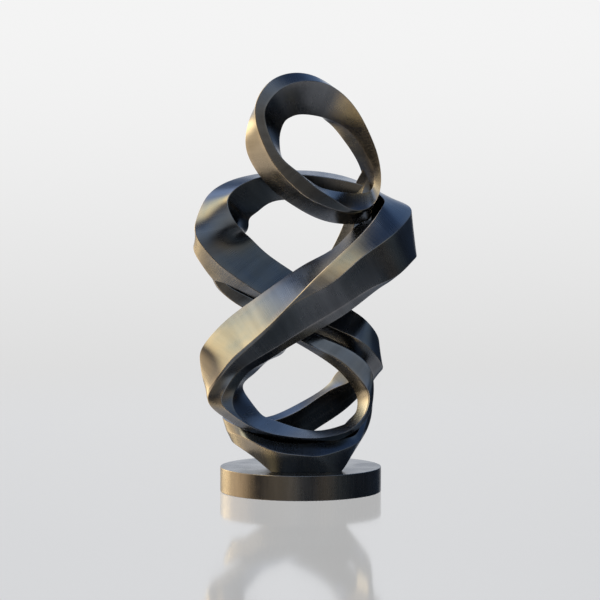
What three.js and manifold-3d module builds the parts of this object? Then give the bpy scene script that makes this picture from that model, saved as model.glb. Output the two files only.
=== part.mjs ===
// Abstract ribbon sculpture: a fused metal ribbon that climbs in crossing loops from a round plinth.
// Millimetres, +Z up, the viewer's side is -Y. The origin is the centre of the plinth's underside.
import * as THREE from 'three';
import * as BufferGeometryUtils from 'three/addons/utils/BufferGeometryUtils.js';
import Module from 'manifold-3d';

const PLINTH_D = 770;        // diameter of the turned plinth
const PLINTH_H = 117;        // its height
const PLINTH_EDGE = 3;       // rounded arris at top and bottom
const SEAT_GAP = 0.3;        // the ribbon stands this far off the plinth
const STEP = 24;             // length of one facet along a strand
const FINEST = 0.5;          // slivers thinner than this are cleaned off where strands meet
const BRONZE = { color: 0x4a4038, roughness: 0.34, metalness: 1.0 };

// Each strand is a box-like beam that twists. A station lists its corners in order round the section:
// rim, crease, lower edge, back edges, inner edge. A station with fewer corners gets the rest on
// its back face.
const longStrand = [
  // start, buried in the right-hand turn
  [[308, 112, 605], [350, 98, 590], [345, 92, 520], [290, 118, 535]],
  [[293, 10, 424], [336, -10, 417], [341, 0, 368], [266, 60, 372]],
  // hull that stands on the plinth
  [[275, -120, 305], [299, -110, 290], [310, -70, 285], [246, 30, 260], [212, 10, 319]],
  [[199, -175, 268], [231, -200, 229], [237, -150, 176], [164, 0, 139], [140, -20, 241]],
  [[114, -205, 256], [118, -265, 201], [170, -225, 100], [130, 0, 105], [100, -30, 262]],
  [[20, -220, 250], [20, -290, 200], [25, -245, 92], [30, 20, 92], [15, -10, 258]],
  [[-119, -215, 259], [-114, -275, 217], [-115, -240, 105], [-95, 10, 100], [-110, -20, 270]],
  [[-227, -190, 293], [-222, -230, 256], [-204, -190, 167], [-180, 10, 160], [-205, -15, 285]],
  [[-304, -140, 325], [-303, -160, 285], [-290, -130, 221], [-255, 0, 215], [-285, 0, 300]],
  // left tip, then the band that climbs behind
  [[-374, -20, 351], [-354, -40, 291], [-331, -20, 241], [-290, 30, 335]],
  [[-283, 110, 345], [-290, 170, 290], [-270, 120, 240], [-266, 62, 315]],
  [[-148, 150, 342], [-110, 240, 280], [-80, 160, 200], [-134, 98, 322]],
  [[-3, 180, 405], [30, 275, 345], [70, 190, 267], [10, 120, 382]],
  [[143, 180, 506], [200, 280, 450], [225, 180, 375], [164, 118, 480]],
  [[224, 150, 588], [300, 225, 560], [318, 130, 470], [262, 80, 535]],
  // right-hand turn, then up to the left through the crossing
  [[356, 108, 655], [391, 90, 570], [350, 90, 519], [285, 90, 610]],
  [[337, 30, 790], [316, -20, 694], [288, 0, 631], [285, 110, 735]],
  [[256, 60, 857], [188, 5, 764], [160, 70, 708], [195, 150, 815]],
  [[98, 80, 959], [-22, 0, 864], [-65, 60, 809], [30, 170, 925]],
  [[-80, 80, 1075], [-217, -10, 960], [-276, 50, 915], [-140, 170, 1040]],
  [[-185, 70, 1154], [-336, -25, 1042], [-401, 40, 987], [-250, 160, 1125]],
  [[-252, 40, 1220], [-430, -35, 1125], [-484, 40, 1092], [-300, 150, 1190]],
  // left turn, over the top of the big loop
  [[-289, -5, 1255], [-495, -25, 1213], [-516, 80, 1169], [-259, 130, 1240]],
  [[-344, 0, 1351], [-498, 25, 1303], [-440, 150, 1250], [-247, 110, 1294]],
  [[-332, 20, 1422], [-452, 80, 1406], [-355, 200, 1330], [-210, 110, 1330]],
  [[-266, 50, 1473], [-342, 150, 1484], [-240, 230, 1390], [-157, 120, 1370]],
  [[-157, 80, 1507], [-188, 205, 1522], [-110, 245, 1410], [-75, 125, 1390]],
  [[55, 95, 1508], [46, 235, 1534], [80, 250, 1385], [84, 115, 1360]],
  [[238, 80, 1477], [265, 220, 1490], [265, 235, 1320], [232, 95, 1308]],
  // shoulder
  [[343, 50, 1438], [451, 130, 1395], [465, 150, 1200],
    [452, 140, 1195], [405, 95, 1215], [365, 60, 1240]],
  [[397, -35, 1389], [529, 0, 1332], [552, -20, 1127],
    [540, -18, 1128], [470, -8, 1165], [400, 0, 1205]],
  [[384, -110, 1357], [477, -140, 1266], [530, -120, 1101],
    [522, -108, 1100], [455, -50, 1180], [385, -35, 1262]],
  // diagonal, down to the left in front of everything
  [[336, -150, 1287], [408, -205, 1208], [468, -175, 1044],
    [460, -160, 1038], [385, -50, 1140], [311, -20, 1290]],
  [[217, -190, 1165], [286, -240, 1120], [353, -190, 986],
    [371, -155, 973], [290, -50, 1070], [192, -45, 1193]],
  [[81, -210, 1037], [141, -245, 997], [198, -190, 891],
    [223, -150, 859], [150, -50, 965], [49, -60, 1102]],
  [[-40, -215, 911], [-31, -218, 902], [21, -180, 784],
    [39, -140, 748], [0, -45, 850], [-93, -70, 1012]],
  [[-171, -205, 779], [-162, -207, 767], [-115, -180, 697],
    [-92, -140, 673], [-78, -60, 668], [-254, -75, 898]],
  [[-264, -205, 697], [-255, -208, 684], [-214, -190, 639],
    [-181, -150, 618], [-154, -60, 625], [-372, -90, 805]],
  [[-339, -205, 626], [-331, -209, 613], [-283, -200, 591],
    [-247, -165, 577], [-220, -70, 564], [-465, -105, 695]],
  // round the lower left
  [[-405, -198, 542], [-399, -206, 530], [-332, -215, 534],
    [-293, -190, 518], [-272, -90, 511], [-477, -88, 615]],
  [[-443, -160, 468], [-436, -185, 448], [-371, -228, 456],
    [-318, -215, 455], [-244, -100, 449], [-448, -98, 498]],
  [[-380, -150, 388], [-366, -185, 372], [-334, -236, 398],
    [-299, -230, 391], [-196, -110, 388], [-358, -80, 392]],
  // floor of the lower ring
  [[-240, -165, 297], [-236, -195, 301], [-221, -240, 324],
    [-203, -238, 320], [-144, -105, 355], [-200, -70, 300]],
  [[-84, -170, 240], [-82, -205, 262], [-91, -245, 290],
    [-77, -243, 288], [-45, -105, 320], [-65, -80, 245]],
  [[72, -170, 230], [72, -205, 253], [62, -245, 277], [76, -243, 277], [77, -100, 298], [85, -75, 235]],
  [[215, -145, 262], [213, -180, 278], [198, -220, 297],
    [207, -217, 303], [182, -75, 316], [200, -45, 275]],
  [[318, -85, 365], [320, -120, 366], [295, -165, 359],
    [292, -160, 368], [254, -45, 361], [285, -10, 355]],
  // up the right side, then back through the crossing
  [[343, -45, 470], [347, -85, 472], [327, -128, 450],
    [320, -122, 452], [268, -18, 447], [300, 20, 455]],
  [[320, -15, 590], [334, -75, 582], [297, -90, 524], [290, -88, 520], [221, -5, 530], [255, 45, 575]],
  [[232, 15, 683], [244, -52, 671], [201, -62, 619], [194, -60, 614], [145, 0, 602], [165, 60, 655]],
  [[98, 35, 745], [112, -35, 731], [73, -45, 691], [65, -48, 686], [7, 10, 690], [35, 75, 730]],
  [[-88, 45, 840], [-75, 5, 825], [-115, -20, 795], [-122, -18, 790], [-172, 35, 795], [-145, 95, 830]],
  [[-230, 60, 925], [-215, 20, 910], [-265, 15, 872],
    [-270, 17, 870], [-290, 60, 885], [-250, 120, 915]],
  [[-360, 60, 1000], [-350, 20, 985], [-382, 25, 957],
    [-385, 28, 957], [-400, 70, 965], [-360, 120, 1000]],
  [[-420, 70, 1120], [-430, 40, 1100], [-455, 60, 1085],
    [-457, 65, 1087], [-450, 95, 1095], [-400, 110, 1130]],
];

// Closed top ring. Corners: outer rim, inner rim, inner back edge, outer back edge.
const topRing = [
  [[-213, -90, 1767], [-168, -98, 1771], [-94, 8, 1712], [-247, 25, 1767]],
  [[-180, -98, 1662], [-130, -104, 1657], [-98, -5, 1646], [-263, 15, 1647]],
  [[-126, -104, 1558], [-78, -110, 1577], [-75, -15, 1569], [-222, 8, 1542]],
  [[-54, -108, 1473], [-8, -112, 1518], [11, -20, 1503], [-141, 0, 1441]],
  [[35, -108, 1398], [77, -112, 1445], [88, -20, 1453], [-22, 0, 1353]],
  [[144, -100, 1348], [167, -106, 1386], [178, -15, 1430], [112, 10, 1289]],
  [[248, -80, 1327], [253, -88, 1341], [259, 0, 1422], [246, 25, 1272]],
  [[339, -45, 1353], [338, -62, 1362], [326, 10, 1432], [338, 55, 1303]],
  [[376, 15, 1440], [379, -45, 1446], [350, 15, 1475], [318, 95, 1428]],
  [[362, 50, 1565], [375, -40, 1564], [341, 10, 1551], [281, 90, 1553]],
  [[319, 55, 1695], [335, -40, 1688], [265, 25, 1681], [204, 100, 1679]],
  [[228, 45, 1862], [239, -45, 1852], [160, 40, 1765], [137, 105, 1757]],
  [[112, 10, 1957], [125, -60, 1936], [79, 45, 1789], [84, 110, 1810]],
  [[-22, -40, 1992], [-12, -80, 1944], [2, 45, 1796], [-20, 100, 1920]],
  [[-159, -70, 1936], [-116, -90, 1890], [-46, 30, 1783], [-166, 70, 1890]],
  [[-212, -82, 1843], [-161, -95, 1828], [-77, 18, 1757], [-218, 45, 1835]],
];

// Tail that carries the top ring down to the crossing.
const tail = [
  [[310, 52, 1600], [324, 32, 1600], [342, 22, 1598], [334, 44, 1600]],
  [[293, 82, 1545], [321, 46, 1542], [346, 34, 1538], [336, 60, 1545]],
  [[268, 95, 1481], [300, 60, 1470], [350, 52, 1460], [332, 104, 1478]],
  [[238, 90, 1380], [275, 50, 1365], [345, 45, 1350], [320, 130, 1370]],
  [[189, 70, 1236], [250, 15, 1245], [320, 20, 1225], [265, 120, 1240]],
  [[118, 60, 1103], [180, 5, 1110], [245, 10, 1095], [190, 110, 1105]],
  [[10, 60, 930], [60, 20, 920], [110, 40, 900], [70, 110, 920]],
];

// Gives every station the same number of corners, adding the missing ones on the back face.
function fullSection(corners, sides) {
  const points = corners.map((c) => new THREE.Vector3(...c));
  const last = points.pop();
  const from = points[points.length - 1];
  const missing = sides - points.length - 1;
  for (let i = 1; i <= missing; i++) points.push(from.clone().lerp(last, i / (missing + 1)));
  points.push(last);
  return points;
}

// Second derivatives of the cubic spline through values at the given knots.
function splineBends(knots, values, closed) {
  const n = values.length;
  const bends = new Array(n).fill(0);
  const gap = (i) => knots[i + 1] - knots[i];
  const rise = (i) => (values[(i + 1) % n] - values[i]) / gap(i);
  const first = closed ? 0 : 1;
  const end = closed ? n : n - 1;
  for (let sweep = 0; sweep < 60; sweep++) {
    for (let i = first; i < end; i++) {
      const before = (i - 1 + n) % n;
      const pull = gap(before) * bends[before] + gap(i) * bends[(i + 1) % n];
      bends[i] = (6 * (rise(i) - rise(before)) - pull) / (2 * (gap(before) + gap(i)));
    }
  }
  return bends;
}

function splineAt(knots, values, bends, t) {
  const n = values.length;
  let i = 0;
  while (i < knots.length - 2 && t > knots[i + 1]) i++;
  const j = (i + 1) % n;
  const h = knots[i + 1] - knots[i];
  const a = (knots[i + 1] - t) / h;
  const b = 1 - a;
  const curve = ((a ** 3 - a) * bends[i] + (b ** 3 - b) * bends[j]) * h * h / 6;
  return a * values[i] + b * values[j] + curve;
}

// Smooth strand through the stations. It is made as bent prisms that share end sections at the
// cuts, so that no prism runs into itself where the strand doubles back.
function strand(stations, sides, cuts, closed = false) {
  const sections = stations.map((s) => fullSection(s, sides));
  const centres = sections.map(centreOf);
  const spans = closed ? centres.length : centres.length - 1;
  const knots = [0];
  for (let i = 0; i < spans; i++) {
    knots.push(knots[i] + centres[i].distanceTo(centres[(i + 1) % centres.length]));
  }
  const rails = [];
  for (let side = 0; side < sides; side++) {
    rails.push(['x', 'y', 'z'].map((axis) => {
      const values = sections.map((s) => s[side][axis]);
      return { values, bends: splineBends(knots, values, closed) };
    }));
  }
  const section = (t) => rails.map((rail) => new THREE.Vector3(
    ...rail.map((r) => splineAt(knots, r.values, r.bends, t))));
  const solids = [];
  let along = [];
  for (let i = 0; i < spans; i++) {
    const span = knots[i + 1] - knots[i];
    const steps = Math.max(2, Math.round(span / STEP));
    for (let k = 0; k < steps; k++) along.push(section(knots[i] + span * k / steps));
    if (i < spans - 1 && !cuts.includes(i + 1)) continue;
    along.push(closed && i === spans - 1 ? section(0) : section(knots[i + 1]));
    solids.push(toSolid(bentPrism(along)));
    along = [];
  }
  return solids;
}

function centreOf(points) {
  return points.reduce((sum, p) => sum.add(p), new THREE.Vector3()).divideScalar(points.length);
}

// Bends an upright prism so that each of its levels takes one of the given sections.
function bentPrism(sections) {
  const sides = sections[0].length;
  const steps = sections.length - 1;
  const prism = new THREE.CylinderGeometry(1, 1, 1, sides, steps);
  const at = prism.attributes.position;
  const point = new THREE.Vector3();
  for (let i = 0; i < at.count; i++) {
    point.fromBufferAttribute(at, i);
    const section = sections[Math.round((0.5 - point.y) * steps)];
    const side = Math.round(Math.atan2(point.x, point.z) / (2 * Math.PI) * sides);
    const onAxis = Math.hypot(point.x, point.z) < 0.5;
    point.copy(onAxis ? centreOf(section) : section[(side + sides) % sides]);
    at.setXYZ(i, point.x, point.y, point.z);
  }
  return prism;
}

const wasm = await Module();
wasm.setup();

function toSolid(geometry) {
  const bare = new THREE.BufferGeometry();
  bare.setAttribute('position', geometry.attributes.position);
  bare.setIndex(geometry.index);
  const merged = BufferGeometryUtils.mergeVertices(bare, 1e-3);
  const build = (flip) => {
    const triVerts = new Uint32Array(merged.index.array);
    for (let i = 0; flip && i < triVerts.length; i += 3) {
      [triVerts[i + 1], triVerts[i + 2]] = [triVerts[i + 2], triVerts[i + 1]];
    }
    const vertProperties = new Float32Array(merged.attributes.position.array);
    return new wasm.Manifold(new wasm.Mesh({ numProp: 3, vertProperties, triVerts }));
  };
  const solid = build(false);
  return solid.volume() > 0 ? solid : build(true);
}

function toMesh(solid, name) {
  const { vertProperties, triVerts, numProp } = solid.getMesh();
  const points = new Float32Array(vertProperties.length / numProp * 3);
  for (let i = 0; i < points.length / 3; i++) {
    for (let k = 0; k < 3; k++) points[i * 3 + k] = vertProperties[i * numProp + k];
  }
  const geometry = new THREE.BufferGeometry();
  geometry.setAttribute('position', new THREE.BufferAttribute(points, 3));
  geometry.setIndex(new THREE.BufferAttribute(new Uint32Array(triVerts), 1));
  const mesh = new THREE.Mesh(geometry, new THREE.MeshStandardMaterial(BRONZE));
  mesh.name = name;
  return mesh;
}

function ribbon() {
  const fused = wasm.Manifold.union([
    ...strand(longStrand, 6, [9, 15, 23, 30, 38, 46]),
    ...strand(topRing, 4, [8], true),
    ...strand(tail, 4, []),
  ]);
  const floor = new THREE.BoxGeometry(1400, 1400, 600);
  floor.translate(0, 0, PLINTH_H + SEAT_GAP - 300);
  const shells = fused.subtract(toSolid(floor)).simplify(FINEST).decompose();
  shells.sort((one, other) => other.volume() - one.volume());
  return toMesh(shells[0], 'ribbon');
}

function plinth() {
  const r = PLINTH_D / 2;
  const flat = r - PLINTH_EDGE;
  const outline = new THREE.Path();
  outline.moveTo(0, 0);
  outline.lineTo(flat, 0);
  outline.absarc(flat, PLINTH_EDGE, PLINTH_EDGE, -Math.PI / 2, 0);
  outline.absarc(flat, PLINTH_H - PLINTH_EDGE, PLINTH_EDGE, 0, Math.PI / 2);
  outline.lineTo(0, PLINTH_H);
  const turned = new THREE.LatheGeometry(outline.getPoints(2), 96);
  turned.rotateX(Math.PI / 2);
  return toMesh(toSolid(turned), 'plinth');
}

const sculpture = new THREE.Group();
sculpture.name = 'ribbon_sculpture';
sculpture.add(plinth(), ribbon());
export default sculpture;
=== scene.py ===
# %% [markdown]
# # A bronze ribbon that climbs in crossing loops from a round plinth
# The work is sheet metal folded into a box-like beam and welded end to end, so it reads as one
# ribbon with flat, slowly twisting faces and narrow rounded arrises. Everything sits in the frame of
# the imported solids: metres, +Z up, the viewer's side is -Y, the origin under the plinth's centre.

# %% Load the frame
import math

import bmesh
import bpy
import numpy as np
from mathutils import Matrix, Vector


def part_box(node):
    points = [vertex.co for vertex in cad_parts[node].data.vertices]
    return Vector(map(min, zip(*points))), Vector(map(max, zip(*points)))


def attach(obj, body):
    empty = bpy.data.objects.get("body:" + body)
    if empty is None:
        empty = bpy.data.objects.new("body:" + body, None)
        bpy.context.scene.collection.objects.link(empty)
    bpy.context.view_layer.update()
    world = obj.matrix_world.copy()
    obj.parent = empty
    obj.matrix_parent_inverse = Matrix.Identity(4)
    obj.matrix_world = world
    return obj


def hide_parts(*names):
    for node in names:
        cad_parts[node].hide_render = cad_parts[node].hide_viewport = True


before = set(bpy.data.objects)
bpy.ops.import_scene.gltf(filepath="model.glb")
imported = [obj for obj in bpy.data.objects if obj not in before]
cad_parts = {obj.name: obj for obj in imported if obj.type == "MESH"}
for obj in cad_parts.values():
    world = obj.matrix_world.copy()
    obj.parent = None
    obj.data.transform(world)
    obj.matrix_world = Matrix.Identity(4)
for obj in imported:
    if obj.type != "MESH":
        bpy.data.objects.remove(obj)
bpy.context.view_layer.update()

ribbon_low, ribbon_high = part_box("ribbon")
plinth_low, plinth_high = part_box("plinth")
plinth_radius = (plinth_high[0] - plinth_low[0]) / 2
plinth_height = plinth_high[2] - plinth_low[2]
print("plinth", round(plinth_radius * 2, 3), "m across,", round(plinth_height, 3), "m high")

# %% [markdown]
# ## The beam's stations
# A beam like this is drawn as a row of cross-sections, called stations. Each station lists its
# corners in order round the section, in millimetres: rim, crease, lower edge, back edges and inner
# edge. Few stations give calm, flowing edges, because a smooth curve is passed through each row of
# matching corners. A station with fewer corners gets the rest spread over its back face.

# %% Long strand: hull on the plinth and the band behind it
start_of_ribbon = [
    [[308, 112, 605], [350, 98, 590], [345, 92, 520], [290, 118, 535]],
    [[293, 10, 424], [336, -10, 417], [341, 0, 368], [266, 60, 372]],
]
hull = [
    [[275, -120, 305], [299, -110, 290], [310, -70, 285], [246, 30, 260], [212, 10, 319]],
    [[199, -175, 268], [231, -200, 229], [237, -150, 176], [164, 0, 139], [140, -20, 241]],
    [[114, -205, 256], [118, -265, 201], [170, -225, 100], [130, 0, 105], [100, -30, 262]],
    [[20, -220, 250], [20, -290, 200], [25, -245, 92], [30, 20, 92], [15, -10, 258]],
    [[-119, -215, 259], [-114, -275, 217], [-115, -240, 105], [-95, 10, 100], [-110, -20, 270]],
    [[-227, -190, 293], [-222, -230, 256], [-204, -190, 167], [-180, 10, 160], [-205, -15, 285]],
    [[-304, -140, 325], [-303, -160, 285], [-290, -130, 221], [-255, 0, 215], [-285, 0, 300]],
]
left_tip_and_back_band = [
    [[-374, -20, 351], [-354, -40, 291], [-331, -20, 241], [-290, 30, 335]],
    [[-283, 110, 345], [-290, 170, 290], [-270, 120, 240], [-266, 62, 315]],
    [[-148, 150, 342], [-110, 240, 280], [-80, 160, 200], [-134, 98, 322]],
    [[-3, 180, 405], [30, 275, 345], [70, 190, 267], [10, 120, 382]],
    [[143, 180, 506], [200, 280, 450], [225, 180, 375], [164, 118, 480]],
    [[224, 150, 588], [300, 225, 560], [318, 130, 470], [262, 80, 535]],
]
print("hull and back band:", len(start_of_ribbon + hull + left_tip_and_back_band), "stations")

# %% Long strand: up through the crossing and round the big loop
rising_strand = [
    [[356, 108, 655], [391, 90, 570], [350, 90, 519], [285, 90, 610]],
    [[337, 30, 790], [316, -20, 694], [288, 0, 631], [285, 110, 735]],
    [[256, 60, 857], [188, 5, 764], [160, 70, 708], [195, 150, 815]],
    [[98, 80, 959], [-22, 0, 864], [-65, 60, 809], [30, 170, 925]],
    [[-80, 80, 1075], [-217, -10, 960], [-276, 50, 915], [-140, 170, 1040]],
    [[-185, 70, 1154], [-336, -25, 1042], [-401, 40, 987], [-250, 160, 1125]],
    [[-252, 40, 1220], [-430, -35, 1125], [-484, 40, 1092], [-300, 150, 1190]],
]
big_loop = [
    [[-289, -5, 1255], [-495, -25, 1213], [-516, 80, 1169], [-259, 130, 1240]],
    [[-344, 0, 1351], [-498, 25, 1303], [-440, 150, 1250], [-247, 110, 1294]],
    [[-332, 20, 1422], [-452, 80, 1406], [-355, 200, 1330], [-210, 110, 1330]],
    [[-266, 50, 1473], [-342, 150, 1484], [-240, 230, 1390], [-157, 120, 1370]],
    [[-157, 80, 1507], [-188, 205, 1522], [-110, 245, 1410], [-75, 125, 1390]],
    [[55, 95, 1508], [46, 235, 1534], [80, 250, 1385], [84, 115, 1360]],
    [[238, 80, 1477], [265, 220, 1490], [265, 235, 1320], [232, 95, 1308]],
]
shoulder = [
    [[343, 50, 1438], [451, 130, 1395], [465, 150, 1200],
     [452, 140, 1195], [405, 95, 1215], [365, 60, 1240]],
    [[397, -35, 1389], [529, 0, 1332], [552, -20, 1127],
     [540, -18, 1128], [470, -8, 1165], [400, 0, 1205]],
    [[384, -110, 1357], [477, -140, 1266], [530, -120, 1101],
     [522, -108, 1100], [455, -50, 1180], [385, -35, 1262]],
]
print("loop and shoulder:", len(rising_strand + big_loop + shoulder), "stations")

# %% Long strand: the diagonal in front and the lower ring
diagonal = [
    [[336, -150, 1287], [408, -205, 1208], [468, -175, 1044],
     [460, -160, 1038], [385, -50, 1140], [311, -20, 1290]],
    [[217, -190, 1165], [286, -240, 1120], [353, -190, 986],
     [371, -155, 973], [290, -50, 1070], [192, -45, 1193]],
    [[81, -210, 1037], [141, -245, 997], [198, -190, 891],
     [223, -150, 859], [150, -50, 965], [49, -60, 1102]],
    [[-40, -215, 911], [-31, -218, 902], [21, -180, 784],
     [39, -140, 748], [0, -45, 850], [-93, -70, 1012]],
    [[-171, -205, 779], [-162, -207, 767], [-115, -180, 697],
     [-92, -140, 673], [-78, -60, 668], [-254, -75, 898]],
    [[-264, -205, 697], [-255, -208, 684], [-214, -190, 639],
     [-181, -150, 618], [-154, -60, 625], [-372, -90, 805]],
    [[-339, -205, 626], [-331, -209, 613], [-283, -200, 591],
     [-247, -165, 577], [-220, -70, 564], [-465, -105, 695]],
]
lower_left_turn = [
    [[-405, -198, 542], [-399, -206, 530], [-332, -215, 534],
     [-293, -190, 518], [-272, -90, 511], [-477, -88, 615]],
    [[-443, -160, 468], [-436, -185, 448], [-371, -228, 456],
     [-318, -215, 455], [-244, -100, 449], [-448, -98, 498]],
    [[-380, -150, 388], [-366, -185, 372], [-334, -236, 398],
     [-299, -230, 391], [-196, -110, 388], [-358, -80, 392]],
]
ring_floor = [
    [[-240, -165, 297], [-236, -195, 301], [-221, -240, 324],
     [-203, -238, 320], [-144, -105, 355], [-200, -70, 300]],
    [[-84, -170, 240], [-82, -205, 262], [-91, -245, 290],
     [-77, -243, 288], [-45, -105, 320], [-65, -80, 245]],
    [[72, -170, 230], [72, -205, 253], [62, -245, 277],
     [76, -243, 277], [77, -100, 298], [85, -75, 235]],
    [[215, -145, 262], [213, -180, 278], [198, -220, 297],
     [207, -217, 303], [182, -75, 316], [200, -45, 275]],
    [[318, -85, 365], [320, -120, 366], [295, -165, 359],
     [292, -160, 368], [254, -45, 361], [285, -10, 355]],
]
ring_side_and_end = [
    [[343, -45, 470], [347, -85, 472], [327, -128, 450],
     [320, -122, 452], [268, -18, 447], [300, 20, 455]],
    [[320, -15, 590], [334, -75, 582], [297, -90, 524],
     [290, -88, 520], [221, -5, 530], [255, 45, 575]],
    [[232, 15, 683], [244, -52, 671], [201, -62, 619],
     [194, -60, 614], [145, 0, 602], [165, 60, 655]],
    [[98, 35, 745], [112, -35, 731], [73, -45, 691],
     [65, -48, 686], [7, 10, 690], [35, 75, 730]],
    [[-88, 45, 840], [-75, 5, 825], [-115, -20, 795],
     [-122, -18, 790], [-172, 35, 795], [-145, 95, 830]],
    [[-230, 60, 925], [-215, 20, 910], [-265, 15, 872],
     [-270, 17, 870], [-290, 60, 885], [-250, 120, 915]],
    [[-360, 60, 1000], [-350, 20, 985], [-382, 25, 957],
     [-385, 28, 957], [-400, 70, 965], [-360, 120, 1000]],
    [[-420, 70, 1120], [-430, 40, 1100], [-455, 60, 1085],
     [-457, 65, 1087], [-450, 95, 1095], [-400, 110, 1130]],
]
long_strand = (start_of_ribbon + hull + left_tip_and_back_band + rising_strand + big_loop
               + shoulder + diagonal + lower_left_turn + ring_floor + ring_side_and_end)
print("long strand:", len(long_strand), "stations")

# %% [markdown]
# The ring on top is a closed beam with four corners: outer rim, inner rim, inner back edge and outer
# back edge. Its list starts where the ring meets the shoulder, so that the join of the brushing lies
# out of sight. A short tail carries the ring down behind the shoulder to the crossing.

# %% Top ring and its tail
top_ring = [
    [[339, -45, 1353], [338, -62, 1362], [326, 10, 1432], [338, 55, 1303]],
    [[376, 15, 1440], [379, -45, 1446], [350, 15, 1475], [318, 95, 1428]],
    [[362, 50, 1565], [375, -40, 1564], [341, 10, 1551], [281, 90, 1553]],
    [[319, 55, 1695], [335, -40, 1688], [265, 25, 1681], [204, 100, 1679]],
    [[228, 45, 1862], [239, -45, 1852], [160, 40, 1765], [137, 105, 1757]],
    [[112, 10, 1957], [125, -60, 1936], [79, 45, 1789], [84, 110, 1810]],
    [[-22, -40, 1992], [-12, -80, 1944], [2, 45, 1796], [-20, 100, 1920]],
    [[-159, -70, 1936], [-116, -90, 1890], [-46, 30, 1783], [-166, 70, 1890]],
    [[-212, -82, 1843], [-161, -95, 1828], [-77, 18, 1757], [-218, 45, 1835]],
    [[-213, -90, 1767], [-168, -98, 1771], [-94, 8, 1712], [-247, 25, 1767]],
    [[-180, -98, 1662], [-130, -104, 1657], [-98, -5, 1646], [-263, 15, 1647]],
    [[-126, -104, 1558], [-78, -110, 1577], [-75, -15, 1569], [-222, 8, 1542]],
    [[-54, -108, 1473], [-8, -112, 1518], [11, -20, 1503], [-141, 0, 1441]],
    [[35, -108, 1398], [77, -112, 1445], [88, -20, 1453], [-22, 0, 1353]],
    [[144, -100, 1348], [167, -106, 1386], [178, -15, 1430], [112, 10, 1289]],
    [[248, -80, 1327], [253, -88, 1341], [259, 0, 1422], [246, 25, 1272]],
]
tail = [
    [[310, 52, 1600], [324, 32, 1600], [342, 22, 1598], [334, 44, 1600]],
    [[300, 74, 1545], [330, 50, 1542], [346, 34, 1538], [336, 60, 1545]],
    [[268, 95, 1481], [312, 66, 1472], [350, 52, 1460], [332, 104, 1478]],
    [[238, 90, 1380], [275, 50, 1365], [345, 45, 1350], [320, 130, 1370]],
    [[189, 70, 1236], [250, 15, 1245], [320, 20, 1225], [265, 120, 1240]],
    [[118, 60, 1103], [180, 5, 1110], [245, 10, 1095], [190, 110, 1105]],
    [[10, 60, 930], [60, 20, 920], [110, 40, 900], [70, 110, 920]],
]
print("top ring:", len(top_ring), "stations, tail:", len(tail))

# %% [markdown]
# ## From stations to flowing edges
# A natural cubic spline is the curve that a thin steel strip takes when it is held at a few pins, so
# it has no kinks. One spline runs through each row of matching corners. The numbers that say how
# hard the strip is bent at each pin come from one small set of linear equations.

# %% Splines through the corners
def full_section(corners, sides):
    """Adds the missing corners of a station, evenly spread over its back face."""
    points = [np.array(c, float) / 1000 for c in corners]
    last = points.pop()
    start = points[-1]
    missing = sides - len(points) - 1
    points += [start + (last - start) * i / (missing + 1) for i in range(1, missing + 1)]
    return np.array(points + [last])


def strip_bends(knots, values, closed):
    """How hard the strip is bent at each pin, for all corners at once."""
    n = len(values)
    gaps = np.diff(knots)
    balance = np.eye(n)
    pull = np.zeros_like(values)
    for i in range(0 if closed else 1, n if closed else n - 1):
        before, after = gaps[i - 1], gaps[i]
        following = (i + 1) % n
        balance[i, i - 1] = before
        balance[i, i] = 2 * (before + after)
        balance[i, following] = after
        rise = (values[following] - values[i]) / after
        pull[i] = 6 * (rise - (values[i] - values[i - 1]) / before)
    return np.linalg.solve(balance, pull.reshape(n, -1)).reshape(values.shape)


def flowing_sections(stations, sides, step, closed=False):
    """Sections close together along the beam, and how far along it each one is."""
    values = np.array([full_section(s, sides) for s in stations])
    centres = values.mean(axis=1)
    ends = np.roll(centres, -1, axis=0) if closed else centres[1:]
    gaps = np.linalg.norm(ends - centres[:len(ends)], axis=1)
    knots = np.concatenate([[0], np.cumsum(gaps)])
    bends = strip_bends(knots, values, closed)
    sections, distances = [], []
    for i, gap in enumerate(gaps):
        j = (i + 1) % len(values)
        count = max(2, round(gap / step))
        last_gap = i == len(gaps) - 1
        for k in range(count + 1 if last_gap else count):
            b = k / count
            a = 1 - b
            sections.append(a * values[i] + b * values[j]
                            + ((a ** 3 - a) * bends[i] + (b ** 3 - b) * bends[j]) * gap ** 2 / 6)
            distances.append(knots[i] + gap * b)
    return np.array(sections), distances


test_sections, test_distances = flowing_sections(long_strand, 6, 0.02)
print("long strand is", round(test_distances[-1], 2), "m along its middle")

# %% [markdown]
# ## Rounded arrises
# Folded and ground metal never has a razor edge: each corner turns over about 3 mm, and that narrow
# band is what catches a thin line of light. So each corner of a section becomes a short arc, and the
# flat between two arcs gets a few columns so that a twisting face stays smooth.

# %% Outline of one section
ARRIS_RADIUS = 0.0035
ARRIS_STEPS = 3
ARRIS_SHARE = 0.3       # of the narrower face beside it, at most
ARRIS_EDGE = 0.35       # how marked the two borders of an arris are
COLUMNS = 5


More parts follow.
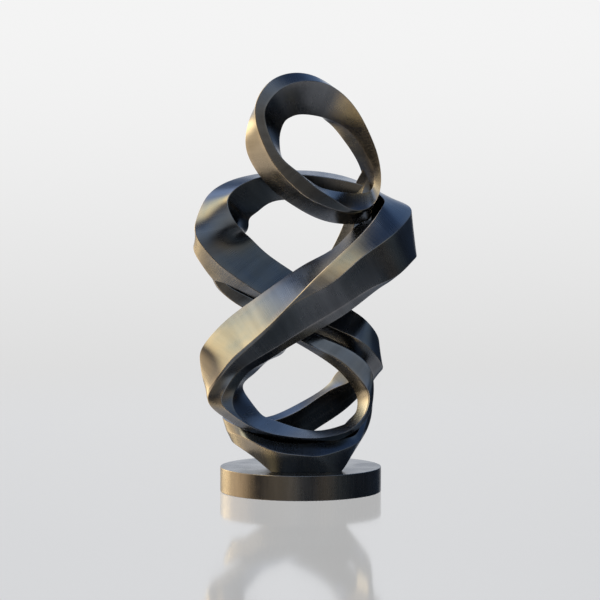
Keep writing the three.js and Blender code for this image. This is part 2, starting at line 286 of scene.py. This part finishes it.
def section_outline(corners):
    """Points round one section, how far round each one is, and 1 where it is on an arris."""
    n = len(corners)
    sides = np.roll(corners, -1, axis=0) - corners
    lengths = np.linalg.norm(sides, axis=1)
    ways = sides / lengths[:, None]
    points, arris = [], []
    for i in range(n):
        r = min(ARRIS_RADIUS, ARRIS_SHARE * lengths[i - 1], ARRIS_SHARE * lengths[i])
        r_next = min(ARRIS_RADIUS, ARRIS_SHARE * lengths[i], ARRIS_SHARE * lengths[(i + 1) % n])
        before = corners[i] - ways[i - 1] * r
        after = corners[i] + ways[i] * r
        for k in range(ARRIS_STEPS + 1):
            b = k / ARRIS_STEPS
            points.append((1 - b) ** 2 * before + 2 * b * (1 - b) * corners[i] + b * b * after)
            arris.append(1.0 if 0 < k < ARRIS_STEPS else ARRIS_EDGE)
        far = corners[(i + 1) % n] - ways[i] * r_next
        for k in range(1, COLUMNS):
            points.append(after + (far - after) * k / COLUMNS)
            arris.append(0.0)
    points.append(points[0])
    arris.append(arris[0])
    points = np.array(points)
    around = np.concatenate([[0], np.cumsum(np.linalg.norm(np.diff(points, axis=0), axis=1))])
    return points, around, arris


sample_outline = section_outline(test_sections[len(test_sections) // 2])
print("one section is", round(sample_outline[1][-1] * 1000), "mm round, with",
      len(sample_outline[0]) - 1, "points")

# %% [markdown]
# ## Bending a sheet into a beam
# The real maker rolls and folds a sheet. Here a flat grid is the sheet: its columns go round the
# section and its rows go along the beam. Each vertex is moved to its place on the section, the two
# long edges are welded, and the open ends are closed. The sheet also keeps a UV map in metres along
# and round the beam, so that brushing can follow the metal, and a number that marks the arrises.

# %% Beam from a bent sheet
ROW_LENGTH = 0.008


def bent_beam(sheet_bm, stations, sides, closed=False):
    """Adds one closed beam to the bmesh and returns how many faces it has."""
    sections, distances = flowing_sections(stations, sides, ROW_LENGTH, closed)
    outlines = [section_outline(s) for s in sections]
    across, rows = len(outlines[0][0]) - 1, len(outlines) - 1
    sheet = bmesh.ops.create_grid(sheet_bm, x_segments=across, y_segments=rows, size=1)["verts"]
    marks = sheet_bm.verts.layers.float["arris"]
    uv = sheet_bm.loops.layers.uv["finish"]
    spot = {v: (round((v.co.x + 1) / 2 * across), round((v.co.y + 1) / 2 * rows)) for v in sheet}
    faces = {f for v in sheet for f in v.link_faces}
    for face in faces:
        for loop in face.loops:
            i, j = spot[loop.vert]
            loop[uv].uv = (distances[j], outlines[j][1][i])
    for v, (i, j) in spot.items():
        v.co = outlines[j][0][i]
        v[marks] = outlines[j][2][i]
    seam = [v for v, (i, j) in spot.items() if i in (0, across) or (closed and j in (0, rows))]
    bmesh.ops.remove_doubles(sheet_bm, verts=seam, dist=1e-6)
    open_edges = [e for v in sheet if v.is_valid for e in v.link_edges if e.is_boundary]
    if open_edges:
        bmesh.ops.holes_fill(sheet_bm, edges=list(set(open_edges)), sides=0)
    return len(faces)


def new_metal_bmesh():
    bm = bmesh.new()
    bm.verts.layers.float.new("arris")
    bm.loops.layers.uv.new("finish")
    return bm


ribbon_bm = new_metal_bmesh()
for name, stations, sides, closed in (("long strand", long_strand, 6, False),
                                      ("top ring", top_ring, 4, True), ("tail", tail, 4, False)):
    print(name, "has", bent_beam(ribbon_bm, stations, sides, closed), "faces")

# %% [markdown]
# ## The flat foot of the hull
# The hull is cut off level where it stands, a hair above the plinth. bisect_plane is the saw: it
# cuts every edge that crosses the plane and clears what is below, and the open cut is filled.

# %% Cut the foot and finish the ribbon
bmesh.ops.recalc_face_normals(ribbon_bm, faces=ribbon_bm.faces)
foot_level = ribbon_low[2]
bmesh.ops.bisect_plane(ribbon_bm, geom=ribbon_bm.verts[:] + ribbon_bm.edges[:] + ribbon_bm.faces[:],
                       dist=1e-6, plane_co=(0, 0, foot_level), plane_no=(0, 0, -1),
                       clear_outer=True)
cut_edges = [e for e in ribbon_bm.edges if e.is_boundary]
bmesh.ops.holes_fill(ribbon_bm, edges=cut_edges, sides=0)
for vert in ribbon_bm.verts:
    vert.co = [min(max(c, low), high) for c, low, high in zip(vert.co, ribbon_low, ribbon_high)]


def finished_piece(name, bm, sharp_above=40):
    """Makes an object of the bmesh: smooth faces, with the steepest edges kept crisp."""
    for face in bm.faces:
        face.smooth = True
    for edge in bm.edges:
        if edge.is_manifold and edge.calc_face_angle() > math.radians(sharp_above):
            edge.smooth = False
    mesh = bpy.data.meshes.new(name)
    bm.to_mesh(mesh)
    bm.free()
    piece = bpy.data.objects.new(name, mesh)
    bpy.context.scene.collection.objects.link(piece)
    shading = piece.modifiers.new("even_shading", "WEIGHTED_NORMAL")
    shading.keep_sharp = True
    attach(piece, "root")
    return piece


ribbon_piece = finished_piece("bronze_ribbon", ribbon_bm)
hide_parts("ribbon")
print("ribbon:", len(ribbon_piece.data.polygons), "faces")

# %% [markdown]
# ## The plinth
# A plinth like this is a flat drum turned on its upright axis. A lathe is the natural tool, so half
# of its outline is drawn once, its two arrises are rounded by the same few millimetres, and spin
# carries it round. The middle of the top and of the underside is welded to one point.

# %% Spin the plinth
PLINTH_ARRIS = 0.003
PLINTH_STEPS = 192
plinth_bm = new_metal_bmesh()
flat_radius = plinth_radius - PLINTH_ARRIS
outline = [(0, 0), (flat_radius / 2, 0), (flat_radius, 0)]
for middle, start in ((PLINTH_ARRIS, -90), (plinth_height - PLINTH_ARRIS, 0)):
    for turn in range(15, 91, 15) if start else range(0, 91, 15):
        angle = math.radians(start + turn)
        outline.append((flat_radius + PLINTH_ARRIS * math.cos(angle),
                        middle + PLINTH_ARRIS * math.sin(angle)))
outline += [(flat_radius / 2, plinth_height), (0, plinth_height)]
profile = [plinth_bm.verts.new((0, r, z)) for r, z in outline]
for one, other in zip(profile, profile[1:]):
    plinth_bm.edges.new((one, other))
bmesh.ops.spin(plinth_bm, geom=plinth_bm.verts[:] + plinth_bm.edges[:], cent=(0, 0, 0),
               axis=(0, 0, 1), angle=2 * math.pi, steps=PLINTH_STEPS, use_merge=True)
bmesh.ops.remove_doubles(plinth_bm, verts=plinth_bm.verts, dist=1e-6)
bmesh.ops.recalc_face_normals(plinth_bm, faces=plinth_bm.faces)

uv = plinth_bm.loops.layers.uv["finish"]
marks = plinth_bm.verts.layers.float["arris"]
for vert in plinth_bm.verts:
    inside = max(plinth_radius - math.hypot(vert.co.x, vert.co.y),
                 min(vert.co.z, plinth_height - vert.co.z))
    vert[marks] = 1.0 if inside < PLINTH_ARRIS * 0.9 else 0.0
for face in plinth_bm.faces:
    turns = [math.atan2(loop.vert.co.x, -loop.vert.co.y) for loop in face.loops]
    if max(turns) - min(turns) > math.pi:
        turns = [t + 2 * math.pi if t < 0 else t for t in turns]
    for loop, turn in zip(face.loops, turns):
        loop[uv].uv = (turn * plinth_radius,
                       loop.vert.co.z + plinth_radius - math.hypot(loop.vert.co.x, loop.vert.co.y))

plinth_piece = finished_piece("bronze_plinth", plinth_bm)
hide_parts("plinth")
print("plinth:", len(plinth_piece.data.polygons), "faces")

# %% [markdown]
# ## Shared surface effects
# Both pieces share three effects, so each is a node group with its own inputs, built once. The first
# is the brushing: a fine noise stretched across the beam, as an abrasive belt leaves it.

# %% Helper for node groups
def effect_group(name, inputs, outputs):
    """An empty shader group with named sockets, and its input and output nodes."""
    group = bpy.data.node_groups.new(name, "ShaderNodeTree")
    for label, kind, value in inputs:
        socket = group.interface.new_socket(label, in_out="INPUT", socket_type=kind)
        socket.default_value = value
    for label, kind in outputs:
        group.interface.new_socket(label, in_out="OUTPUT", socket_type=kind)
    return group, group.nodes.new("NodeGroupInput"), group.nodes.new("NodeGroupOutput")


def math_node(tree, operation, a, b=None, clamp=False):
    """A Math node; a and b are sockets or plain numbers."""
    node = tree.nodes.new("ShaderNodeMath")
    node.operation = operation
    node.use_clamp = clamp
    for socket, value in zip(node.inputs, (a, b)):
        if isinstance(value, (int, float)):
            socket.default_value = value
        elif value is not None:
            tree.links.new(value, socket)
    return node.outputs[0]


def ramp(tree, value, low, high, to_low=0.0, to_high=1.0):
    """A soft step of a value from one level to another."""
    node = tree.nodes.new("ShaderNodeMapRange")
    node.interpolation_type = "SMOOTHSTEP"
    tree.links.new(value, node.inputs["Value"])
    for label, number in (("From Min", low), ("From Max", high),
                          ("To Min", to_low), ("To Max", to_high)):
        node.inputs[label].default_value = number
    return node.outputs["Result"]


# %% Brushing
brushing, brush_in, brush_out = effect_group(
    "belt_brushing", [("Lines per metre", "NodeSocketFloat", 260.0)],
    [("Lines", "NodeSocketFloat"), ("Bands", "NodeSocketFloat")])
sheet_uv = brushing.nodes.new("ShaderNodeUVMap")
sheet_uv.uv_map = "finish"
parts = brushing.nodes.new("ShaderNodeSeparateXYZ")
brushing.links.new(sheet_uv.outputs[0], parts.inputs[0])


def stretched_noise(along_scale, across_scale, detail):
    place = brushing.nodes.new("ShaderNodeCombineXYZ")
    for index, (coordinate, scale) in enumerate(((parts.outputs[0], along_scale),
                                                 (parts.outputs[1], across_scale))):
        brushing.links.new(math_node(brushing, "MULTIPLY", coordinate, scale), place.inputs[index])
    noise = brushing.nodes.new("ShaderNodeTexNoise")
    noise.inputs["Scale"].default_value = 1.0
    noise.inputs["Detail"].default_value = detail
    brushing.links.new(place.outputs[0], noise.inputs["Vector"])
    return noise.outputs["Fac"]


brushing.links.new(stretched_noise(brush_in.outputs[0], 5.0, 3.0), brush_out.inputs["Lines"])
brushing.links.new(stretched_noise(22.0, 2.5, 2.0), brush_out.inputs["Bands"])
print("brushing group ready")

# %% [markdown]
# The second effect is a painted reflection mixed with patina. Faces that look up are painted slate
# blue as a painted reflection of the sky, faces that look down are painted olive brown as a painted
# reflection of the ground, and soft clouds of random patina tone break up both.

# %% Painted reflection of sky and ground, with patina
reflection_tint_and_patina, tint_in, tint_out = effect_group(
    "painted_reflection_and_patina",
    [("Upper", "NodeSocketColor", (0.1, 0.1, 0.1, 1)), ("Side", "NodeSocketColor", (0.1, 0.1, 0.1, 1)),
     ("Under", "NodeSocketColor", (0.1, 0.1, 0.1, 1))],
    [("Color", "NodeSocketColor"), ("Clouds", "NodeSocketFloat")])
surface = reflection_tint_and_patina.nodes.new("ShaderNodeNewGeometry")
facing = reflection_tint_and_patina.nodes.new("ShaderNodeSeparateXYZ")
reflection_tint_and_patina.links.new(surface.outputs["Normal"], facing.inputs[0])
place = reflection_tint_and_patina.nodes.new("ShaderNodeTexCoord")
cloud_noise = reflection_tint_and_patina.nodes.new("ShaderNodeTexNoise")
cloud_noise.inputs["Scale"].default_value = 6.0
cloud_noise.inputs["Detail"].default_value = 4.0
reflection_tint_and_patina.links.new(place.outputs["Object"], cloud_noise.inputs["Vector"])
clouds = ramp(reflection_tint_and_patina, cloud_noise.outputs["Fac"], 0.3, 0.7)
# Painted reflection: faces that look up lean to the Upper colour and faces that look down lean to
# Under, as if mirroring sky and ground; the clouds shift this a little at random
leaning = math_node(reflection_tint_and_patina, "ADD", facing.outputs["Z"],
                    math_node(reflection_tint_and_patina, "MULTIPLY", math_node(reflection_tint_and_patina, "SUBTRACT", clouds, 0.5), 0.25))


def mixed(tree, amount, one, other):
    node = tree.nodes.new("ShaderNodeMix")
    node.data_type = "RGBA"
    for socket, value in zip((node.inputs[0], node.inputs[6], node.inputs[7]), (amount, one, other)):
        if isinstance(value, (int, float, tuple)):
            socket.default_value = value
        else:
            tree.links.new(value, socket)
    return node.outputs[2]


lower_half = mixed(reflection_tint_and_patina, ramp(reflection_tint_and_patina, leaning, -0.6, 0.0),
                   tint_in.outputs["Under"], tint_in.outputs["Side"])
whole = mixed(reflection_tint_and_patina, ramp(reflection_tint_and_patina, leaning, 0.05, 0.65), lower_half, tint_in.outputs["Upper"])
reflection_tint_and_patina.links.new(whole, tint_out.inputs["Color"])
reflection_tint_and_patina.links.new(clouds, tint_out.inputs["Clouds"])
print("patina group ready")

# %% [markdown]
# The third effect brightens the marked arrises towards paler metal, unevenly. Partly this is wear,
# as hands, cloths and polishing take the patina off the arrises first, and partly it is a painted
# highlight standing in for the thin lines of light that the rounded edges catch.

# %% Edge wear and painted highlight
arris_wear_and_highlight, arris_in, arris_out = effect_group(
    "arris_wear_and_painted_highlight", [("Amount", "NodeSocketFloat", 0.6)], [("Mask", "NodeSocketFloat")])
arris_mark = arris_wear_and_highlight.nodes.new("ShaderNodeAttribute")
arris_mark.attribute_name = "arris"
arris_place = arris_wear_and_highlight.nodes.new("ShaderNodeTexCoord")
arris_noise = arris_wear_and_highlight.nodes.new("ShaderNodeTexNoise")
arris_noise.inputs["Scale"].default_value = 14.0
arris_wear_and_highlight.links.new(arris_place.outputs["Object"], arris_noise.inputs["Vector"])
uneven = ramp(arris_wear_and_highlight, arris_noise.outputs["Fac"], 0.3, 0.65, 0.4, 1.0)
# Wear and painted highlight: the arris mark, made uneven by noise, is the mask that brightens the
# edges
worn_and_lit = math_node(arris_wear_and_highlight, "MULTIPLY", arris_mark.outputs["Fac"], uneven)
arris_wear_and_highlight.links.new(math_node(arris_wear_and_highlight, "MULTIPLY", worn_and_lit, arris_in.outputs["Amount"], clamp=True),
                    arris_out.inputs["Mask"])
print("edge wear group ready")

# %% [markdown]
# ## Patinated bronze with painted light
# Bronze under a dark patina is still a bare metal: it has no colour of its own except in what it
# mirrors. So the Principled shader is fully metallic with a dark base colour, a middling roughness,
# and the three effects on top. The base colour is tinted by which way each face looks, a painted
# reflection of sky and ground. Its arrises are brightened, partly by wear and partly by a painted
# highlight.

# %% Bronze for the ribbon and for the plinth
# Brighter metal for the arrises: partly worn bronze, partly a painted highlight
WORN_AND_LIT_BRONZE = (0.30, 0.26, 0.22)


def bronze_with_painted_light(name, upper, side, under, bright, roughness, lines, arris_brightening):
    material = bpy.data.materials.new(name)
    material.use_nodes = True
    tree = material.node_tree
    shader = tree.nodes["Principled BSDF"]
    shader.inputs["Metallic"].default_value = 1.0
    groups = {}
    for group in (brushing, reflection_tint_and_patina, arris_wear_and_highlight):
        node = tree.nodes.new("ShaderNodeGroup")
        node.node_tree = group
        groups[group.name] = node
    brush, tint_and_patina, arrises = (groups[g.name] for g in (brushing, reflection_tint_and_patina, arris_wear_and_highlight))
    brush.inputs["Lines per metre"].default_value = lines
    arrises.inputs["Amount"].default_value = arris_brightening
    # Upper, Side and Under are the colours of the painted reflection of sky and ground
    for label, colour in (("Upper", upper), ("Side", side), ("Under", under)):
        tint_and_patina.inputs[label].default_value = (*colour, 1)
    streaked = tree.nodes.new("ShaderNodeMix")
    streaked.data_type = "RGBA"
    streaked.blend_type = "MULTIPLY"
    streaked.inputs[0].default_value = 1.0
    tree.links.new(tint_and_patina.outputs["Color"], streaked.inputs[6])
    shade = tree.nodes.new("ShaderNodeCombineColor")
    tone = math_node(tree, "MULTIPLY", ramp(tree, brush.outputs["Lines"], 0.3, 0.7, 0.95, 1.04),
                     ramp(tree, brush.outputs["Bands"], 0.3, 0.7, 0.9, 1.08))
    for channel in shade.inputs:
        tree.links.new(tone, channel)
    tree.links.new(shade.outputs[0], streaked.inputs[7])
    # The arrises are mixed towards the brighter metal: wear and a painted highlight
    tree.links.new(mixed(tree, arrises.outputs["Mask"], streaked.outputs[2], (*bright, 1)),
                   shader.inputs["Base Color"])
    rough = math_node(tree, "ADD", ramp(tree, brush.outputs["Lines"], 0.3, 0.7, -0.02, 0.02),
                      ramp(tree, tint_and_patina.outputs["Clouds"], 0.0, 1.0, roughness - 0.03,
                           roughness + 0.05))
    tree.links.new(rough, shader.inputs["Roughness"])
    bump = tree.nodes.new("ShaderNodeBump")
    bump.inputs["Strength"].default_value = 0.04
    bump.inputs["Distance"].default_value = 0.0006
    tree.links.new(brush.outputs["Lines"], bump.inputs["Height"])
    tree.links.new(bump.outputs[0], shader.inputs["Normal"])
    return material


# Painted reflection in the base colour: Upper is a bluer painted reflection of the sky, Under an olive
# painted reflection of the ground, Side lies between
ribbon_bronze = bronze_with_painted_light("bronze_with_painted_light", upper=(0.10, 0.125, 0.165),
                                 side=(0.125, 0.12, 0.115), under=(0.115, 0.11, 0.10),
                                 bright=WORN_AND_LIT_BRONZE, roughness=0.25, lines=260.0, arris_brightening=0.55)
plinth_bronze = bronze_with_painted_light("plinth_bronze", upper=(0.14, 0.155, 0.175),
                                 side=(0.14, 0.125, 0.11), under=(0.11, 0.10, 0.09),
                                 bright=WORN_AND_LIT_BRONZE, roughness=0.25, lines=120.0, arris_brightening=0.4)
ribbon_piece.data.materials.append(ribbon_bronze)
plinth_piece.data.materials.append(plinth_bronze)
print("bronze is on both pieces")

# %% [markdown]
# ## Light
# Dark polished metal shows the room, not itself, so the light is built around it: a broad warm light
# low on the left, a cool one overhead, a dim front and a darker right. The camera alone sees a plain
# pale backdrop. Directions are given as degrees round from the viewer, positive to the right, and
# degrees up.

# %% Soft lights in the world
world = bpy.data.worlds.new("studio")
bpy.context.scene.world = world
world.use_nodes = True
sky = world.node_tree
for node in list(sky.nodes):
    sky.nodes.remove(node)
looking = sky.nodes.new("ShaderNodeTexCoord").outputs["Generated"]
heights = sky.nodes.new("ShaderNodeSeparateXYZ")
sky.links.new(looking, heights.inputs[0])
height = heights.outputs["Z"]


def colour_sum(one, other):
    node = sky.nodes.new("ShaderNodeVectorMath")
    node.operation = "ADD"
    sky.links.new(one, node.inputs[0])
    sky.links.new(other, node.inputs[1])
    return node.outputs[0]


def scaled_colour(colour, amount):
    node = sky.nodes.new("ShaderNodeVectorMath")
    node.operation = "SCALE"
    node.inputs[0].default_value = colour
    sky.links.new(amount, node.inputs["Scale"])
    return node.outputs[0]


def soft_light(turn, rise, reach, colour):
    """A round soft light: full at its middle, gone at reach degrees from it."""
    turn, rise = math.radians(turn), math.radians(rise)
    way = (math.sin(turn) * math.cos(rise), -math.cos(turn) * math.cos(rise), math.sin(rise))
    dot = sky.nodes.new("ShaderNodeVectorMath")
    dot.operation = "DOT_PRODUCT"
    sky.links.new(looking, dot.inputs[0])
    dot.inputs[1].default_value = way
    return scaled_colour(colour, ramp(sky, dot.outputs["Value"], math.cos(math.radians(reach)), 1.0))


OVERHEAD_BLUE = (0.12, 0.18, 0.30)
FLOOR_GLOW = (0.95, 1.02, 1.20)
light = scaled_colour(OVERHEAD_BLUE, ramp(sky, height, -0.1, 0.7, 0.2, 1.0))
light = colour_sum(light, scaled_colour(FLOOR_GLOW, ramp(sky, height, -0.5, -0.95)))
for turn, rise, reach, colour in (
        (-115, 6, 52, (2.6, 2.0, 1.25)),       # broad warm light on the left
        (-135, 14, 22, (4.6, 3.6, 1.9)),       # its bright middle
        (-105, -34, 26, (1.5, 1.3, 1.05)),     # its glow on the floor
        (-66, 42, 23, (6.0, 4.5, 2.2)),        # a warm patch higher up
        (-115, 60, 30, (1.0, 1.2, 1.6)),       # cool light high on the left
        (-5, 28, 30, (0.62, 0.74, 0.86)),      # cool front fill
        (-30, -4, 36, (0.40, 0.35, 0.26)),     # low warm glow in front
        (35, 8, 18, (0.45, 0.36, 0.24)),       # its edge on the right
        (50, 25, 35, (0.22, 0.28, 0.30)),      # dim front light on the right
        (150, 45, 40, (0.20, 0.28, 0.40)),     # faint cool light behind on the right
        (180, 4, 30, (0.8, 0.8, 0.8))):        # pale backdrop behind
    light = colour_sum(light, soft_light(turn, rise, reach, colour))

# %% Pale backdrop for the camera
LOW_LOOK, LOW_TONE = -0.19, 0.645       # looking a little down, and how pale it is there
HIGH_LOOK, HIGH_TONE = 0.11, 0.905      # looking a little up
seen = scaled_colour((1, 1, 1), ramp(sky, height, LOW_LOOK, HIGH_LOOK, LOW_TONE, HIGH_TONE))
chooser = sky.nodes.new("ShaderNodeLightPath")
picked = sky.nodes.new("ShaderNodeMix")
picked.data_type = "VECTOR"
sky.links.new(chooser.outputs["Is Camera Ray"], picked.inputs[0])
sky.links.new(light, picked.inputs[4])
sky.links.new(seen, picked.inputs[5])
background = sky.nodes.new("ShaderNodeBackground")
sky.links.new(picked.outputs[1], background.inputs["Color"])
sky.links.new(background.outputs[0], sky.nodes.new("ShaderNodeOutputWorld").inputs[0])
print("world lights ready")

# %% [markdown]
# ## Floor and camera
# The floor is a large pale glossy sheet. It carries a faint mirror image of the work under the
# plinth and otherwise takes the backdrop's tone. The mirror image fades out before the sheet's far
# edge, so no horizon line shows.

# %% Floor
FLOOR_RADIUS = 30
FLOOR_DROP = 0.0005
MIRROR_SHARE = 0.33
FADE_FROM, FADE_TO = 3.2, 9.0
floor_bm = bmesh.new()
bmesh.ops.create_circle(floor_bm, cap_ends=True, segments=96, radius=FLOOR_RADIUS)
floor_mesh = bpy.data.meshes.new("studio_floor")
floor_bm.to_mesh(floor_mesh)
floor_bm.free()
floor_mesh.transform(Matrix.Translation((0, 0, -FLOOR_DROP)))
floor = bpy.data.objects.new("studio_floor", floor_mesh)
bpy.context.scene.collection.objects.link(floor)
pale = bpy.data.materials.new("pale_glossy_floor")
pale.use_nodes = True
tree = pale.node_tree
tree.nodes.remove(tree.nodes["Principled BSDF"])
clear = tree.nodes.new("ShaderNodeBsdfTransparent")
mirror = tree.nodes.new("ShaderNodeBsdfGlossy")
mirror.inputs["Color"].default_value = (0.9, 0.9, 0.9, 1)
mirror.inputs["Roughness"].default_value = 0.08
blend = tree.nodes.new("ShaderNodeMixShader")
floor_place = tree.nodes.new("ShaderNodeTexCoord")
away = tree.nodes.new("ShaderNodeVectorMath")
away.operation = "LENGTH"
tree.links.new(floor_place.outputs["Object"], away.inputs[0])
tree.links.new(ramp(tree, away.outputs["Value"], FADE_FROM, FADE_TO, MIRROR_SHARE, 0.0),
               blend.inputs[0])
tree.links.new(clear.outputs[0], blend.inputs[1])
tree.links.new(mirror.outputs[0], blend.inputs[2])
tree.links.new(blend.outputs[0], tree.nodes["Material Output"].inputs[0])
floor.data.materials.append(pale)
print("floor ready")

# %% Camera
EYE_DISTANCE, EYE_HEIGHT = 9.78, 1.329
TILT_DOWN = 2.44
camera = bpy.data.objects.new("camera", bpy.data.cameras.new("camera"))
bpy.context.scene.collection.objects.link(camera)
camera.location = (-0.003, -EYE_DISTANCE, EYE_HEIGHT)
camera.rotation_euler = (math.radians(90 - TILT_DOWN), 0, 0)
camera.data.sensor_width = 36
camera.data.lens = 123
bpy.context.scene.camera = camera
bpy.context.scene.view_settings.view_transform = "Standard"
print("camera stands", EYE_DISTANCE, "m away, at", EYE_HEIGHT, "m")
